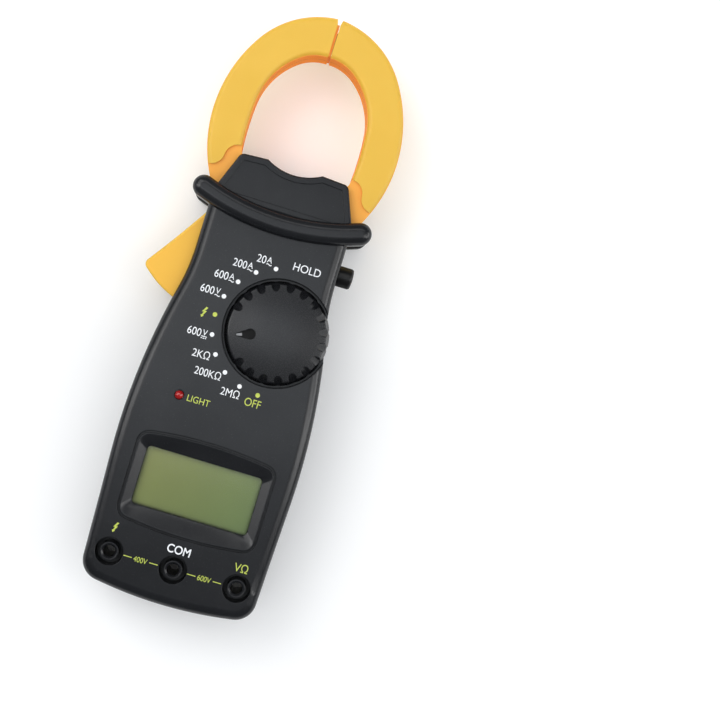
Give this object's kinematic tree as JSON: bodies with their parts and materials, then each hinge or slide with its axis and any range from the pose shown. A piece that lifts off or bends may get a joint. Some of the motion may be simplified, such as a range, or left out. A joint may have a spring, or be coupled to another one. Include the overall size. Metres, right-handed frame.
{
  "type": "clamp meter",
  "caption": "Handheld clamp-on current meter with two opening jaws, side trigger, rotary range knob, display and input jacks.",
  "frame": {"origin": "middle of the flat rear face, on the left-right symmetry plane and half way along the length", "axes": "+Y towards the jaw tips, +Z out of the display face, +X to the right seen from the front"},
  "size_m": [0.072, 0.2079, 0.0365],
  "materials": {
    "case_black": "fine matte texture",
    "jaw_yellow": "satin",
    "knob_black": "fine matte texture",
    "steel": "bright",
    "brass": "bright",
    "nickel": "bright",
    "core_iron": "laminated",
    "coil_copper": "lacquered wire",
    "board_green": "solder mask",
    "window_clear": "clear",
    "lcd_glass": "polariser film",
    "frame_white": "moulded",
    "rubber_strip": "soft",
    "lamp_red": "tinted resin",
    "chip_black": "moulded",
    "battery_can": "printed sleeve",
    "wire_red": "insulation",
    "trim_blue": "moulded",
    "rotor_white": "self-lubricating"
  },
  "bodies": {
    "case": {"front_case": "case_black", "rear_case": "case_black", "case_screws": "steel", "board_screws": "steel", "jaw_pivot_pins": "steel", "range_contact_pads": "brass", "main_board": "board_green", "left_jack_sleeve": "brass", "common_jack_sleeve": "brass", "right_jack_sleeve": "brass", "lcd_window": "window_clear", "lcd_panel": "lcd_glass", "lcd_frame": "frame_white", "zebra_strips": "rubber_strip", "indicator_lamp": "lamp_red", "controller_chip": "chip_black", "input_resistors": "trim_blue", "trim_resistors": "trim_blue", "buzzer": "chip_black", "battery": "battery_can", "battery_snap": "chip_black", "battery_wires": "wire_red", "hold_switch": "chip_black"},
    "left_jaw": {"left_jaw_front_shell": "jaw_yellow", "left_jaw_rear_shell": "jaw_yellow", "left_jaw_core": "core_iron", "left_jaw_coil": "coil_copper", "trigger_lever": "jaw_yellow", "jaw_return_spring": "steel"},
    "right_jaw": {"right_jaw_front_shell": "jaw_yellow", "right_jaw_rear_shell": "jaw_yellow", "right_jaw_core": "core_iron", "right_jaw_coil": "coil_copper"},
    "range_selector": {"range_knob": "knob_black", "switch_rotor": "rotor_white", "rotor_contacts": "brass", "rotor_retaining_ring": "steel", "detent_balls": "nickel", "detent_springs": "steel"},
    "hold_key": {"hold_button": "case_black", "hold_plunger": "chip_black"},
    "battery_door": {"battery_cover": "case_black", "battery_cover_screw": "steel"}
  },
  "joints": [
    {"name": "left_jaw_swing", "type": "hinge", "parent": "case", "child": "left_jaw", "pos_m": [-0.0152, 0.0287, 0.0185], "axis": [0, 0, 1], "range_deg": [0, 18], "stiffness_Nm_per_rad": 0.8, "springref_deg": -14.9},
    {"name": "right_jaw_swing", "type": "hinge", "parent": "case", "child": "right_jaw", "pos_m": [0.0152, 0.0287, 0.0185], "axis": [0, 0, 1], "range_deg": [-18, 0]},
    {"name": "range_knob_turn", "type": "hinge", "parent": "case", "child": "range_selector", "pos_m": [0.0103, -0.00475, 0.03], "axis": [0, 0, 1], "range_deg": [-90, 72]},
    {"name": "hold_button_press", "type": "slide", "parent": "case", "child": "hold_key", "axis": [-1, 0, 0], "range_m": [0, 0.0012], "stiffness_N_per_m": 1200, "springref_m": -0.0008},
    {"name": "battery_door_lift", "type": "slide", "parent": "case", "child": "battery_door", "axis": [0, 0, -1], "range_m": [0, 0.02]}
  ],
  "couplings": [
    {"joint": "right_jaw_swing", "follows": "left_jaw_swing", "ratio": -1}
  ]
}
